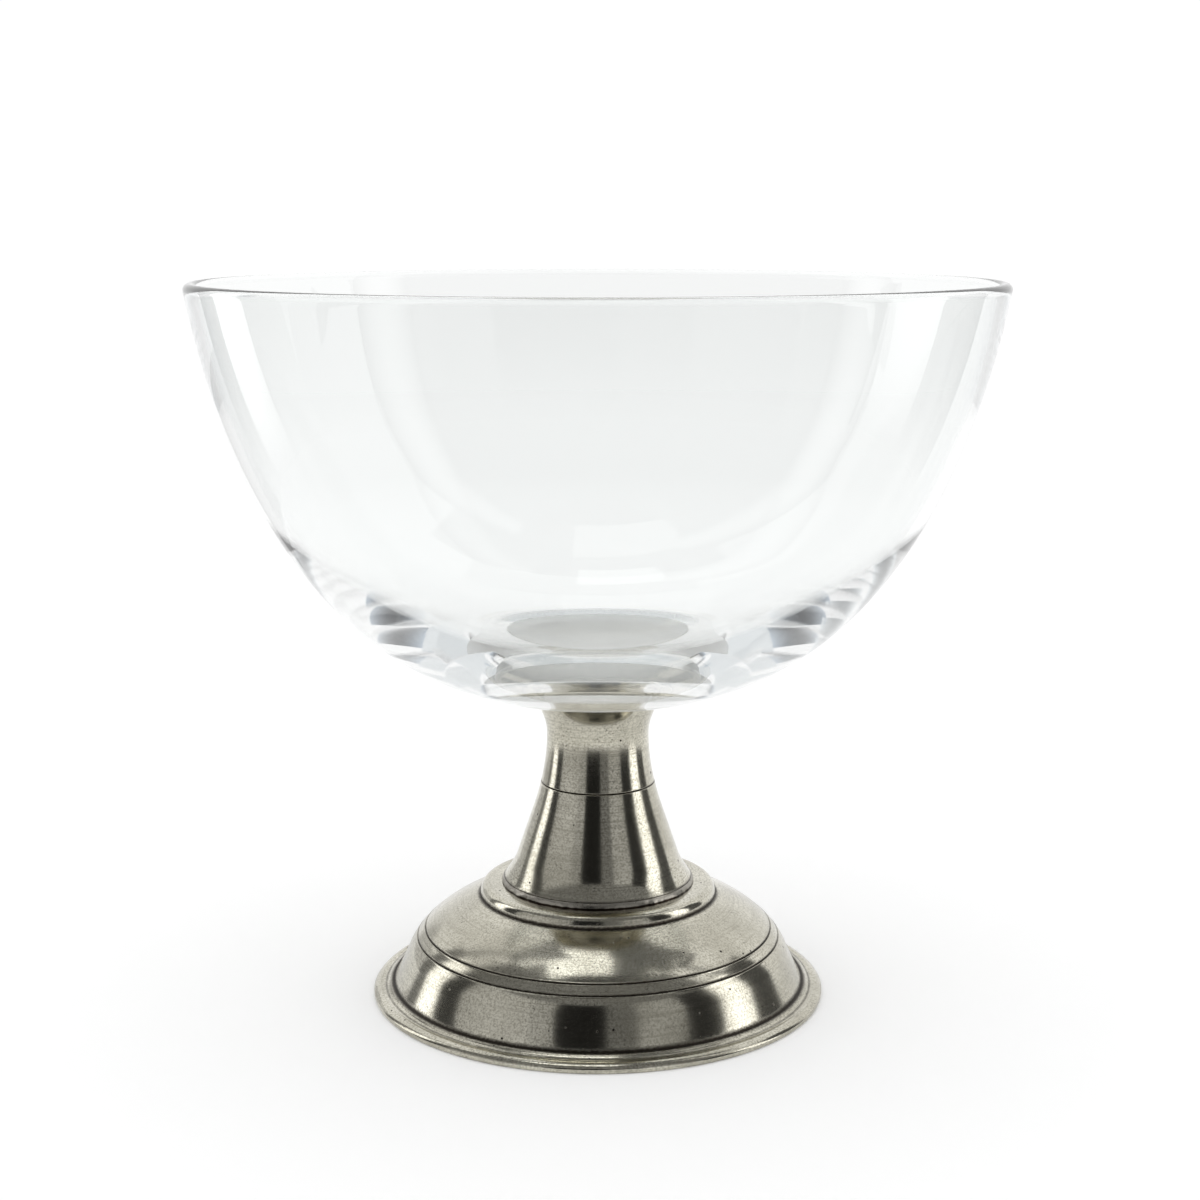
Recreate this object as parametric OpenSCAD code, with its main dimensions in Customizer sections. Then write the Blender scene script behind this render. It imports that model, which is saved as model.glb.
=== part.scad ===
// Footed bowl: a clear glass bowl on a turned pewter stem and foot.
// Every piece is a ring turned about the upright axis. Lengths are in millimetres.
// The origin is the middle of the circle on which the foot stands, and +Z is up.

/* [Glass bowl] */
// Widest diameter of the glass, at the rim
rim_d = 250.4; // [200:1:300]
// Height of the glass, from its ground base to the top of the lip
glass_h = 126.6; // [100:0.2:160]
// Thickness of the glass at the lip
lip_t = 4; // [2.5:0.1:6]
// Thickness of the glass in the middle of the base
base_t = 4; // [2.5:0.1:9]
// Diameter of the flat that is ground under the base
ground_d = 80; // [68:1:100]
// Thickness of the wall between the heel and the lip
wall_t = 3.1; // [2:0.1:4.5]
// Height below the lip over which the wall thickens to it
lip_fade = 40; // [10:1:60]
// Height above the lip at which the outer curve would stand upright
outer_rise = 99; // [60:1:140]
// Fullness of the outer curve, where 2 is a plain ellipse
outer_fullness = 2.49; // [2.2:0.01:2.8]
// Height above the ground base at which the heel has thinned to the wall
inner_rise = 53.8; // [30:0.2:80]
// Fullness of the heel, where a larger value keeps it thick for longer
inner_fullness = 1.34; // [1:0.01:2.6]
// Softness of the heel's upper end, where a larger value thins it more gently
heel_softness = 1.85; // [1.3:0.05:3]
// Outward lean of the rounded lip, in degrees
lip_lean = 13; // [0:1:25]

/* [Seat plate and bond] */
// Diameter of the pewter plate that the glass is bonded to
plate_d = 63; // [54:0.2:76]
// Thickness of the plate
plate_t = 1.1; // [0.8:0.1:4]
// Radius of the plate's rounded edge
plate_round = 0.35; // [0.1:0.05:0.38]
// Thickness of the clear adhesive between the plate and the glass
bond_t = 0.2; // [0.1:0.05:0.6]
// How far the adhesive stops short of the plate's edge
bond_inset = 0.4; // [0.4:0.1:2]

/* [Stem] */
// Height of the stem
stem_h = 63.6; // [50:0.2:90]
// Diameter of the stem's base
stem_base_d = 60.4; // [52:0.2:66]
// Diameter of the narrowest place
neck_d = 32.5; // [26:0.2:38]
// Height of the narrowest place above the stem's base
neck_h = 49; // [42:0.5:54]
// Diameter of the flared top, under the plate
stem_top_d = 44; // [40:0.2:52]
// Thickness of the cast wall
stem_wall = 3.2; // [2:0.1:5]
// Height of the scribed line above the stem's base
stem_line_h = 33.2; // [20:0.2:38]

/* [Foot] */
// Diameter over the brim
foot_d = 145.2; // [130:0.2:180]
// Height of the foot, to the flat top of its collar
foot_h = 36.1; // [30:0.1:50]
// Diameter of the collar that carries the stem
collar_d = 75.8; // [72:0.2:84]
// Height of the collar above the dome
collar_h = 3.8; // [2:0.1:6]
// Width of the collar's rounded edge, seen from above
collar_round = 3.2; // [1:0.1:3.4]
// Diameter of the shoulder, where the dome becomes the skirt
shoulder_d = 122.8; // [112:0.2:126]
// Height of the shoulder
shoulder_h = 13.5; // [10:0.1:18]
// Diameter at the bottom of the skirt, where the brim starts
skirt_d = 132.2; // [127:0.2:138]
// Height of the brim where it meets the skirt
brim_h = 4; // [3:0.1:6]
// Height at which the brim's upright edge ends
edge_h = 1.6; // [1.2:0.1:2.4]
// Radius of the brim's rounded lower edge
edge_round = 0.8; // [0.2:0.05:1]
// Width of the flat ring on which the foot stands
rest_w = 3.8; // [2:0.1:6]
// Thickness of the cast wall
foot_wall = 3; // [2:0.1:4]
// Diameter of the hole under the stem
foot_hole_d = 44; // [30:0.5:50]
// Height of the lower scribed line above the shoulder
line_rise = 5.1; // [1:0.1:7]
// Distance between the two scribed lines
line_gap = 2.8; // [1.5:0.1:5]

/* [Solder and scribed lines] */
// Height of the solder seam round the stem's base
seam_h = 1.8; // [1:0.1:3]
// Width of the solder seam
seam_w = 0.8; // [0.4:0.1:1.2]
// Height of the solder fillet under the plate
fillet_h = 1; // [0.5:0.1:2]
// Width of the solder fillet under the plate
fillet_w = 1.2; // [0.5:0.1:3]
// Radius of a scribed line's round bottom
line_r = 0.3; // [0.15:0.05:0.5]

/* [Hidden] */
$fn = 96;
// How far a cut runs past the face that it opens
overrun = 1;
// Straight pieces in a long curve, a short curve and the rounded lip
long_steps = 32;
short_steps = 10;
lip_steps = 12;

// Levels, from the table up
stem_z = foot_h;
plate_z = stem_z + stem_h;
bond_z = plate_z + plate_t;
glass_z = bond_z + bond_t;
rim_z = glass_z + glass_h;

// Where the stem's straight cone begins and ends, as shares of the way out from the
// neck to the base, and of the way up from the base edge to the neck
cone_top_shares = [0.33, 0.47];
cone_foot_shares = [0.7, 0.15];
base_corner_shares = [0.77, 0.09];
neck_corner_share = 0.75;
// Where the corner of the upper flare lies, as a share of the way from neck to top
flare_corner_share = 0.47;
// Where the corner of the dome's curve lies, as shares of the way out and down
dome_corner_shares = [0.82, 0.43];
// Where the corner of the skirt's curve lies, as shares of the way out and down
skirt_corner_shares = [0.67, 0.77];
// The brim's bead and cove end at these shares of the way in and up from its edge
bead_end_shares = [0.4, 0.58];
cove_end_shares = [0.8, 0.88];
// How far bead, cove and strip bow out of their chords, as shares of their chords
bead_bow_share = 0.12;
cove_bow_share = -0.13;
strip_bow_share = 0.09;
// How high the hollow under the brim rises, as a share of the brim's height
relief_share = 0.8;
// How far a solder seam's face bows out, as a share of its chord
seam_bow_share = 0.12;

glass_colour = [0.86, 0.92, 0.94, 0.35];
pewter_colour = [0.6, 0.58, 0.54];
solder_colour = [0.46, 0.43, 0.4];
bond_colour = [0.85, 0.85, 0.83, 0.6];

// The point that lies at the given shares of the way from a to b, along x and along y
function between(a, b, shares) =
    [a.x + shares.x * (b.x - a.x), a.y + shares.y * (b.y - a.y)];

// Points after a, on the curve that leaves a and reaches c towards one corner
function bend(a, corner, c, steps) =
    [for (i = [1:steps]) let (t = i / steps)
        pow(1 - t, 2) * a + 2 * t * (1 - t) * corner + t * t * c];

// Points after a, on a shallow bow to c that stands off its chord by a share of it
function bow(a, c, bow_share, steps) =
    let (run = c - a)
    bend(a, (a + c) / 2 + 2 * bow_share * [run.y, -run.x], c, steps);

// Points after the first, on an arc round a centre
function arc(centre, r, first, last, steps) =
    [for (i = [1:steps]) let (angle = first + (last - first) * i / steps)
        centre + r * [cos(angle), sin(angle)]];

// Distance from the axis to an outline at one height, where the outline rises steadily
function radius_at(outline, height) =
    lookup(height, [for (p = outline) [p.y, p.x]]);

// The solid ring that a flat outline sweeps round the axis
module turned() {
    rotate_extrude() children();
}

// The hollow that an even wall leaves inside an outline, on the outline's side of the axis
module cored(wall, reach) {
    intersection() {
        offset(delta = -wall) {
            children();
            mirror([1, 0]) children();
        }
        translate([0, -reach]) square([reach, 2 * reach]);
    }
}

// The round notch that a scribed line leaves in an outline at one height
module line_notch(outline, height) {
    translate([radius_at(outline, height), height]) circle(r = line_r);
}

// Foot: brim, skirt, dome and collar in one hollow casting

foot_r = foot_d / 2;
collar_r = collar_d / 2;
edge_top = [foot_r, edge_h];
skirt_foot = [skirt_d / 2, brim_h];
bead_end = between(edge_top, skirt_foot, bead_end_shares);
cove_end = between(edge_top, skirt_foot, cove_end_shares);
shoulder = [shoulder_d / 2, shoulder_h];
dome_top = [collar_r, foot_h - collar_h];
edge_centre = [foot_r - edge_round, edge_round];
rest_inner_r = foot_r - edge_round - rest_w;
relief_top = [skirt_foot.x - foot_wall, relief_share * brim_h];

brim_path = concat(
    arc(edge_centre, edge_round, -90, 0, short_steps),
    [edge_top],
    bow(edge_top, bead_end, bead_bow_share, short_steps),
    bow(bead_end, cove_end, cove_bow_share, short_steps),
    bow(cove_end, skirt_foot, strip_bow_share, short_steps));
body_path = concat(
    bend(skirt_foot, between(skirt_foot, shoulder, [1, 1] - skirt_corner_shares), shoulder, short_steps),
    bend(shoulder, between(dome_top, shoulder, dome_corner_shares), dome_top, long_steps));
collar_path = bend(dome_top, [collar_r, foot_h], [collar_r - collar_round, foot_h], short_steps);

module foot_outline(bottom) {
    polygon(concat([[0, bottom], [edge_centre.x, bottom]], brim_path, body_path, collar_path, [[0, foot_h]]));
}

module foot_hollow() {
    cored(foot_wall, foot_d) {
        polygon(concat([[0, -foot_d], [skirt_foot.x, -foot_d], skirt_foot], body_path, collar_path,
            [[0, foot_h]]));
    }
    polygon([[0, -overrun], [rest_inner_r, -overrun], [rest_inner_r, 0], relief_top, [0, relief_top.y]]);
}

module foot() {
    color(pewter_colour) turned() difference() {
        foot_outline(0);
        foot_hollow();
        square([foot_hole_d / 2, foot_h + overrun]);
        line_notch(body_path, shoulder_h + line_rise);
        line_notch(body_path, shoulder_h + line_rise + line_gap);
    }
}

// Stem: a hollow cast trumpet, open at both ends

base_edge = [stem_base_d / 2, stem_z + seam_h];
neck = [neck_d / 2, stem_z + neck_h];
top_edge = [stem_top_d / 2, plate_z - fillet_h];
stem_box = [base_edge.x, neck.y];
cone_top = between([neck.x, base_edge.y], stem_box, cone_top_shares);
cone_foot = between([neck.x, base_edge.y], stem_box, cone_foot_shares);
base_corner = between([neck.x, base_edge.y], stem_box, base_corner_shares);
neck_corner = between([neck.x, base_edge.y], stem_box, [0, neck_corner_share]);
flare_corner = between(neck, top_edge, [0, flare_corner_share]);

stem_path = concat(
    [base_edge],
    bend(base_edge, base_corner, cone_foot, short_steps),
    [cone_top],
    bend(cone_top, neck_corner, neck, long_steps),
    bend(neck, flare_corner, top_edge, long_steps));

module stem_outline(bottom, top) {
    polygon(concat([[0, bottom], [base_edge.x, bottom]], stem_path, [[top_edge.x, top], [0, top]]));
}

module stem() {
    color(pewter_colour) turned() difference() {
        stem_outline(stem_z, plate_z);
        cored(stem_wall, plate_z + stem_h) stem_outline(stem_z - stem_h, plate_z + stem_h);
        line_notch(stem_path, stem_z + stem_line_h);
    }
}

// Solder: the seam round the stem's base, and the fillet under the plate

module stem_solder() {
    inner = [base_edge.x, stem_z];
    outer = inner + [seam_w, 0];
    color(solder_colour) turned() polygon(concat([inner, outer],
        bow(outer, base_edge, seam_bow_share, short_steps)));
}

module plate_solder() {
    inner = [top_edge.x, plate_z];
    outer = inner + [fillet_w, 0];
    color(solder_colour) turned() polygon(concat([inner, top_edge],
        bow(top_edge, outer, -seam_bow_share, short_steps)));
}

// Seat plate and the adhesive on it

module seat_plate() {
    flat_r = plate_d / 2 - plate_round;
    color(pewter_colour) turned() polygon(concat(
        [[0, plate_z], [flat_r, plate_z]],
        arc([flat_r, plate_z + plate_round], plate_round, -90, 0, short_steps),
        [[plate_d / 2, bond_z - plate_round]],
        arc([flat_r, bond_z - plate_round], plate_round, 0, 90, short_steps),
        [[0, bond_z]]));
}

module bond_film() {
    color(bond_colour) translate([0, 0, bond_z]) cylinder(h = bond_t, r = plate_d / 2 - bond_inset);
}

// Glass bowl. The outer face is a superellipse, (r / a)^n + ((c - z) / b)^n = 1, about an
// upright level c above the lip, and it passes through the ground edge and the lip. The
// inner face lies inside it by a thickness that falls from the heel to the wall, and grows
// again to the lip.

lip_centre = [rim_d / 2 - lip_t / 2, rim_z - lip_t / 2];
lip_across = [cos(lip_lean), -sin(lip_lean)] * lip_t / 2;
outer_lip = lip_centre + lip_across;
ground_edge = [ground_d / 2, glass_z];

// Half-width and depth of the superellipse about level c through two points
function curve_through(p, q, c, n) =
    let (
        pr = pow(p.x, n),
        qr = pow(q.x, n),
        pd = pow(c - p.y, n),
        qd = pow(c - q.y, n),
        whole = qr * pd - pr * qd
    ) [pow((pd - qd) / whole, -1 / n), pow((qr - pr) / whole, -1 / n)];

// A share that grows smoothly from none to all
function eased(share) =
    let (s = min(max(share, 0), 1)) s * s * (3 - 2 * s);

outer_c = rim_z + outer_rise;
outer_size = curve_through(ground_edge, outer_lip, outer_c, outer_fullness);
outer_first = asin(pow(ground_edge.x / outer_size.x, outer_fullness / 2));
outer_last = acos(pow((outer_c - outer_lip.y) / outer_size.y, outer_fullness / 2));
heel_t = base_t + glass_z - (outer_c - outer_size.y);

// The point of the outer face at its own angle
function outer_point(angle) =
    [outer_size.x * pow(sin(angle), 2 / outer_fullness),
     outer_c - outer_size.y * pow(cos(angle), 2 / outer_fullness)];

// The direction into the glass at a point of the outer face
function inward(p) =
    let (slope = [-pow(p.x / outer_size.x, outer_fullness - 1) / outer_size.x,
                  pow((outer_c - p.y) / outer_size.y, outer_fullness - 1) / outer_size.y])
    slope / norm(slope);

// Thickness of the glass over a point of the outer face at one height
function thickness(height) =
    let (up = min(max((height - glass_z) / inner_rise, 0), 1))
    wall_t + (heel_t - wall_t) * pow(1 - pow(up, inner_fullness), heel_softness)
        + (lip_t - wall_t) * eased((height - outer_lip.y + lip_fade) / lip_fade);

// The point of the inner face that faces a point of the outer one
function inner_point(p) = p + thickness(p.y) * inward(p);

module glass_bowl() {
    outside = [for (i = [0:long_steps])
        outer_point(outer_first + (outer_last - outer_first) * i / long_steps)];
    inside = [for (i = [long_steps - 1:-1:0]) inner_point(outer_point(outer_last * i / long_steps))];
    lip = arc(lip_centre, lip_t / 2, -lip_lean, 180 - lip_lean, lip_steps);
    color(glass_colour) turned() polygon(concat([[0, glass_z]], outside, lip, inside));
}

foot();
stem_solder();
stem();
plate_solder();
seat_plate();
bond_film();
glass_bowl();
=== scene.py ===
# %% [markdown]
# The footed bowl is two materials made by two crafts: a clear glass bowl, and a turned
# pewter stem and foot that carry it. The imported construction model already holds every
# piece at its real size. This script loads it, and then gives each piece the fine outline
# and the finish of the real one. All lengths are in metres.

# %% Load the frame
import math

import bmesh
import bpy
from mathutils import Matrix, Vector
from mathutils import noise as lumps


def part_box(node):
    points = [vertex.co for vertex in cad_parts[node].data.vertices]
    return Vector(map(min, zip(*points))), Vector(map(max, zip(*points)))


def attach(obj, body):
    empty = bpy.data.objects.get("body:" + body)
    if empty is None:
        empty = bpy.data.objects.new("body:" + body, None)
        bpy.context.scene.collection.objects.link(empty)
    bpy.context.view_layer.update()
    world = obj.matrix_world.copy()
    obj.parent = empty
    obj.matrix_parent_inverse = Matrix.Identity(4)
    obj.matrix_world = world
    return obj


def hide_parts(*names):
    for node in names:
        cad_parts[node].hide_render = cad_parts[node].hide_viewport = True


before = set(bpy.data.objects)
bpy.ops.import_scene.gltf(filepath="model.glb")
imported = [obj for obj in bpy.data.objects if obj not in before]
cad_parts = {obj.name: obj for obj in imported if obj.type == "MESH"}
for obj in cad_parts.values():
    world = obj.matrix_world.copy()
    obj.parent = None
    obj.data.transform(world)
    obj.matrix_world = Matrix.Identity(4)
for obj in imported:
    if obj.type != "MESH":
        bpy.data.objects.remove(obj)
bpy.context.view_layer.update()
MM = 0.001
print("nodes:", sorted(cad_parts))

# %% [markdown]
# Every piece is round about the upright axis, so two numbers say where a node is: how far
# it reaches from the axis, and between which levels it lies. They are read from the frame,
# so that nothing here has to be fitted by eye.

# %% Where the nodes are


def reach(node):
    """Largest distance of a node from the axis."""
    return max(math.hypot(v.co.x, v.co.y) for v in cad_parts[node].data.vertices)


def levels(node):
    """Lowest and highest level of a node."""
    low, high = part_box(node)
    return low.z, high.z


rim_r = reach("glass_bowl")
glass_z, rim_z = levels("glass_bowl")
plate_r = reach("seat_plate")
plate_z, plate_top = levels("seat_plate")
stem_z, stem_top = levels("stem")
foot_r = reach("foot")
foot_z, foot_top = levels("foot")
print(f"rim {rim_r * 2:.4f} across, foot {foot_r * 2:.4f} across, height {rim_z:.4f}")

# %% [markdown]
# Two curves draw every outline. A bend leaves one point and reaches another towards a
# shared corner, as a turner's sweep does. A bow is a shallow bend that stands off its
# chord. An outline is a list of points (distance from the axis, level), in order.

# %% Curves for the outlines


def point(r, z):
    """A point of an outline."""
    return Vector((r, z))


def between(a, b, across, up):
    """The point at these shares of the way from a to b, across and up."""
    return point(a.x + across * (b.x - a.x), a.y + up * (b.y - a.y))


def line(a, b, steps):
    """Points after a, on the straight way to b."""
    return [a.lerp(b, i / steps) for i in range(1, steps + 1)]


def bend(a, corner, c, steps):
    """Points after a, on the curve that leaves a and reaches c towards one corner."""
    shares = [i / steps for i in range(1, steps + 1)]
    return [(1 - t) ** 2 * a + 2 * t * (1 - t) * corner + t * t * c for t in shares]


def bow(a, c, share, steps):
    """Points after a, on a shallow curve that stands off its chord by a share of it."""
    run = c - a
    return bend(a, (a + c) / 2 + 2 * share * Vector((run.y, -run.x)), c, steps)


def arc(centre, r, first, last, steps):
    """Points after the first, on an arc whose angles are in degrees."""
    turns = [math.radians(first + (last - first) * i / steps) for i in range(1, steps + 1)]
    return [centre + r * Vector((math.cos(t), math.sin(t))) for t in turns]


# %% [markdown]
# Node trees are easier to read when a few short helpers make and wire the nodes: `put`
# makes one node, `feed` gives a socket either a link or a plain value, and `calc` makes
# one Math node.

# %% Node helpers


def feed(tree, source, socket):
    """Links a socket, or writes a plain value on it."""
    if isinstance(source, bpy.types.NodeSocket):
        tree.links.new(source, socket)
    else:
        socket.default_value = source


def put(tree, kind, inputs=None, **settings):
    """Makes a node, sets its options, and feeds its inputs by name or number."""
    made = tree.nodes.new(kind)
    for key, value in settings.items():
        setattr(made, key, value)
    for key, source in (inputs or {}).items():
        feed(tree, source, made.inputs[key])
    return made


def calc(tree, operation, *values):
    """One Math node, and its result."""
    made = put(tree, "ShaderNodeMath", dict(enumerate(values)), operation=operation)
    return made.outputs[0]


FLOAT, INT, MATERIAL = "NodeSocketFloat", "NodeSocketInt", "NodeSocketMaterial"


def geometry_tree(name, sizes):
    """An empty geometry tree whose named inputs are the given sizes."""
    tree = bpy.data.node_groups.new(name, "GeometryNodeTree")
    tree.interface.new_socket("Geometry", in_out="INPUT", socket_type="NodeSocketGeometry")
    for label, kind, value in sizes:
        socket = tree.interface.new_socket(label, in_out="INPUT", socket_type=kind)
        if value is not None:
            socket.default_value = value
    tree.interface.new_socket("Geometry", in_out="OUTPUT", socket_type="NodeSocketGeometry")
    return tree, put(tree, "NodeGroupInput"), put(tree, "NodeGroupOutput")


# %% [markdown]
# A lathe is the tool that made the stem and the foot, and a lathe is what the first tree
# is. It lays out a flat grid with one row of points for each step round the axis. Each
# point looks up its place on the outline by its number, and is then swung round the axis.
# The outline's own attributes, such as its tarnish and painted shade, travel with the points.

# %% The lathe tree
CARRIED = ("run", "tarnish_and_shade")
USUAL_STEPS = 96


def lathe_tree():
    """Swings an outline, drawn in the XZ plane, once round the Z axis."""
    tree, given, result = geometry_tree("Lathe", [("Steps", INT, USUAL_STEPS)])
    outline, steps = given.outputs["Geometry"], given.outputs["Steps"]
    count = put(tree, "GeometryNodeAttributeDomainSize", {"Geometry": outline})
    count = count.outputs["Point Count"]
    rings = calc(tree, "ADD", steps, 1.0)
    grid = put(tree, "GeometryNodeMeshGrid", {"Vertices X": rings, "Vertices Y": count})
    index = put(tree, "GeometryNodeInputIndex").outputs[0]
    along = calc(tree, "MODULO", index, count)
    around = calc(tree, "FLOOR", calc(tree, "DIVIDE", index, count))
    turn = calc(tree, "MULTIPLY", calc(tree, "DIVIDE", around, steps), math.tau)
    where = put(tree, "GeometryNodeInputPosition").outputs[0]
    picked = put(tree, "GeometryNodeSampleIndex", {"Geometry": outline, "Index": along},
                 data_type="FLOAT_VECTOR", domain="POINT")
    tree.links.new(where, picked.inputs["Value"])
    swung = put(tree, "ShaderNodeVectorRotate",
                {"Vector": picked.outputs["Value"], "Angle": turn}, rotation_type="Z_AXIS")
    solid = put(tree, "GeometryNodeSetPosition",
                {"Geometry": grid.outputs["Mesh"], "Position": swung.outputs[0]}).outputs[0]
    for label in CARRIED:
        value = put(tree, "GeometryNodeInputNamedAttribute", {"Name": label}, data_type="FLOAT")
        looked = put(tree, "GeometryNodeSampleIndex", {"Geometry": outline, "Index": along},
                     data_type="FLOAT", domain="POINT")
        tree.links.new(value.outputs["Attribute"], looked.inputs["Value"])
        solid = put(tree, "GeometryNodeStoreNamedAttribute",
                    {"Geometry": solid, "Name": label, "Value": looked.outputs["Value"]},
                    data_type="FLOAT", domain="POINT").outputs[0]
    tree.links.new(solid, result.inputs["Geometry"])
    return tree


LATHE = lathe_tree()
print("lathe tree:", len(LATHE.nodes), "nodes")

# %% [markdown]
# The lathe leaves a seam where it closes, and a heap of points wherever an outline meets the
# axis. Every tree therefore ends in a weld, and then in its material. The pewter pieces, the
# solder and the adhesive share one tree, because only their outlines differ.

# %% The turning tree
WELD = 0.002 * MM


def finish_tree(tree, solid, result, material, weld):
    """Welds the seam and the poles, and ends a tree in its material."""
    closed = put(tree, "GeometryNodeMergeByDistance", {"Geometry": solid, "Distance": weld})
    dressed = put(tree, "GeometryNodeSetMaterial",
                  {"Geometry": closed.outputs[0], "Material": material})
    real = put(tree, "GeometryNodeRealizeInstances", {"Geometry": dressed.outputs[0]})
    tree.links.new(real.outputs[0], result.inputs["Geometry"])


def turning_tree():
    """The lathe, the weld and the material, for an outline that is given as points."""
    tree, given, result = geometry_tree("Turned piece", [
        ("Steps round", INT, USUAL_STEPS), ("Weld distance", FLOAT, WELD),
        ("Finish", MATERIAL, None)])
    size = given.outputs
    lathe = put(tree, "GeometryNodeGroup", node_tree=LATHE)
    tree.links.new(size["Geometry"], lathe.inputs["Geometry"])
    tree.links.new(size["Steps round"], lathe.inputs["Steps"])
    finish_tree(tree, lathe.outputs[0], result, size["Finish"], size["Weld distance"])
    return tree


TURNING = turning_tree()
print("turning tree:", len(TURNING.nodes), "nodes")

# %% [markdown]
# The modifier only computes a shape. `grow` runs it once and keeps the result as a plain
# mesh, so that the piece no longer depends on the tree. Its normals are then turned
# outwards, and edges sharper than a given angle are marked, so that smooth shading keeps a
# crisp edge crisp. `turned` does it for a piece whose outline is a list of points.

# %% Grow a piece from a tree
SHARP = math.radians(38)


def grow(name, start, tree, values, node):
    """Runs a tree on a starting mesh, and makes the result the piece that replaces a node."""
    piece = bpy.data.objects.new(name, start)
    bpy.context.scene.collection.objects.link(piece)
    run = piece.modifiers.new("Grow", "NODES")
    run.node_group = tree
    sockets = {s.name: s.identifier for s in tree.interface.items_tree if s.in_out == "INPUT"}
    for label, value in values.items():
        run[sockets[label]] = value
    graph = bpy.context.evaluated_depsgraph_get()
    mesh = bpy.data.meshes.new_from_object(piece.evaluated_get(graph), depsgraph=graph)
    piece.modifiers.remove(run)
    piece.data = mesh
    mesh.name = name
    shape = bmesh.new()
    shape.from_mesh(mesh)
    bmesh.ops.recalc_face_normals(shape, faces=shape.faces)
    for face in shape.faces:
        face.smooth = True
    for edge in shape.edges:
        edge.smooth = edge.calc_face_angle(0) < SHARP
    shape.to_mesh(mesh)
    shape.free()
    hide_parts(node)
    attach(piece, "root")
    print(f"{name}: {len(mesh.polygons)} faces")
    return piece


def outline_mesh(name, points, tarnish_and_shade):
    """The outline as loose points that carry their run along it, and their tarnish and painted
    shade.
    """
    mesh = bpy.data.meshes.new(name + " outline")
    mesh.from_pydata([(p.x, 0, p.y) for p in points], [], [])
    run = [0.0]
    for a, b in zip(points, points[1:]):
        run.append(run[-1] + (b - a).length)
    mesh.attributes.new("run", "FLOAT", "POINT").data.foreach_set("value", run)
    mesh.attributes.new("tarnish_and_shade", "FLOAT", "POINT").data.foreach_set("value", tarnish_and_shade)
    return mesh


def darkened(points, creases):
    """How dark each point is, from tarnish and painted shade: most in the creases, which are
    (point, spread) pairs.
    """
    return [max((math.exp(-((p - c).length / spread) ** 2) for c, spread in creases), default=0.0)
            for p in points]


def turned(name, outline, creases, steps, finish, node):
    """Turns an outline, dark in its creases, into the piece that replaces a node."""
    start = outline_mesh(name, outline, darkened(outline, creases))
    return grow(name, start, TURNING,
                {"Steps round": steps, "Weld distance": WELD, "Finish": finish}, node)


# %% [markdown]
# The turner's last cuts are the scribed lines. On an outline a line is a narrow dip whose
# metal is pushed up into a small lip on each side. The outline gets extra points there and
# nowhere else, so that the mesh stays light.

# %% Scribed lines
LINE_DEPTH, LINE_WIDTH = 0.30 * MM, 0.26 * MM
LINE_REACH, POINTS_ACROSS, LIP_SHARE = 5, 5, 0.9


def refine(points, height, half_width, spacing):
    """Adds points to an outline within half_width of a height."""
    finer = [points[0]]
    for a, b in zip(points, points[1:]):
        near = min(a.y, b.y) - half_width < height < max(a.y, b.y) + half_width
        finer += line(a, b, max(1, math.ceil((b - a).length / spacing)) if near else 1)
    return finer


def nearest(points, height):
    """The point of an outline that is nearest to a height, by its number."""
    return min(range(len(points)), key=lambda i: abs(points[i].y - height))


def scribe(points, height):
    """Cuts a scribed line with raised lips into an outline at one height."""
    fine = refine(points, height, LINE_REACH * LINE_WIDTH, LINE_WIDTH / POINTS_ACROSS)
    centre = nearest(fine, height)
    run = (fine[centre + 1] - fine[centre - 1]).normalized()
    outward = Vector((run.y, -run.x))
    cut = []
    for p in fine:
        away = (p - fine[centre]).dot(run) / LINE_WIDTH
        dip = math.exp(-away * away) * (1 - LIP_SHARE * away * away)
        cut.append(p - LINE_DEPTH * dip * outward if abs(away) < LINE_REACH else p)
    return cut


# %% [markdown]
# A finish is a small tree of its own. Every texture is a noise that reads Object coordinates,
# so it stays on the piece. `span` picks out a part of a noise, `blend` colours it, and `bump`
# gives it a real height.

# %% Shader helpers
MIX_SHARE, MIX_A, MIX_B, MIX_COLOUR = 0, 6, 7, 2
HALF = 0.5


def noise(tree, vector, scale, detail, rough):
    """A noise texture's value."""
    made = put(tree, "ShaderNodeTexNoise",
               {"Vector": vector, "Scale": scale, "Detail": detail, "Roughness": rough})
    return made.outputs["Fac"]


def span(tree, value, low, high, to_low=0.0, to_high=1.0):
    """Stretches a value from one range to another, and stops at its ends."""
    made = put(tree, "ShaderNodeMapRange", {"Value": value, "From Min": low, "From Max": high,
                                            "To Min": to_low, "To Max": to_high})
    return made.outputs[0]


def blend(tree, share, a, b):
    """A colour between two others."""
    made = put(tree, "ShaderNodeMix", data_type="RGBA")
    for number, source in ((MIX_SHARE, share), (MIX_A, a), (MIX_B, b)):
        feed(tree, source, made.inputs[number])
    return made.outputs[MIX_COLOUR]


def bump(tree, height, distance, strength, under=None):
    """A bump of a real height, on top of an earlier one."""
    inputs = {"Height": height, "Distance": distance, "Strength": strength}
    if under is not None:
        inputs["Normal"] = under
    return put(tree, "ShaderNodeBump", inputs).outputs[0]


def attribute(tree, label):
    """A value that the mesh carries."""
    return put(tree, "ShaderNodeAttribute", attribute_name=label).outputs["Fac"]


def new_material(name):
    """A material with its tree, its shader, and the place that its textures read."""
    made = bpy.data.materials.new(name)
    made.use_nodes = True
    tree = made.node_tree
    tree.nodes.clear()
    shader = put(tree, "ShaderNodeBsdfPrincipled")
    put(tree, "ShaderNodeOutputMaterial", {"Surface": shader.outputs[0]})
    return made, tree, shader, put(tree, "ShaderNodeTexCoord").outputs["Object"]


def dress(tree, shader, inputs):
    """Feeds a shader's own sockets, by name."""
    for label, source in inputs.items():
        feed(tree, source, shader.inputs[label])


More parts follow.
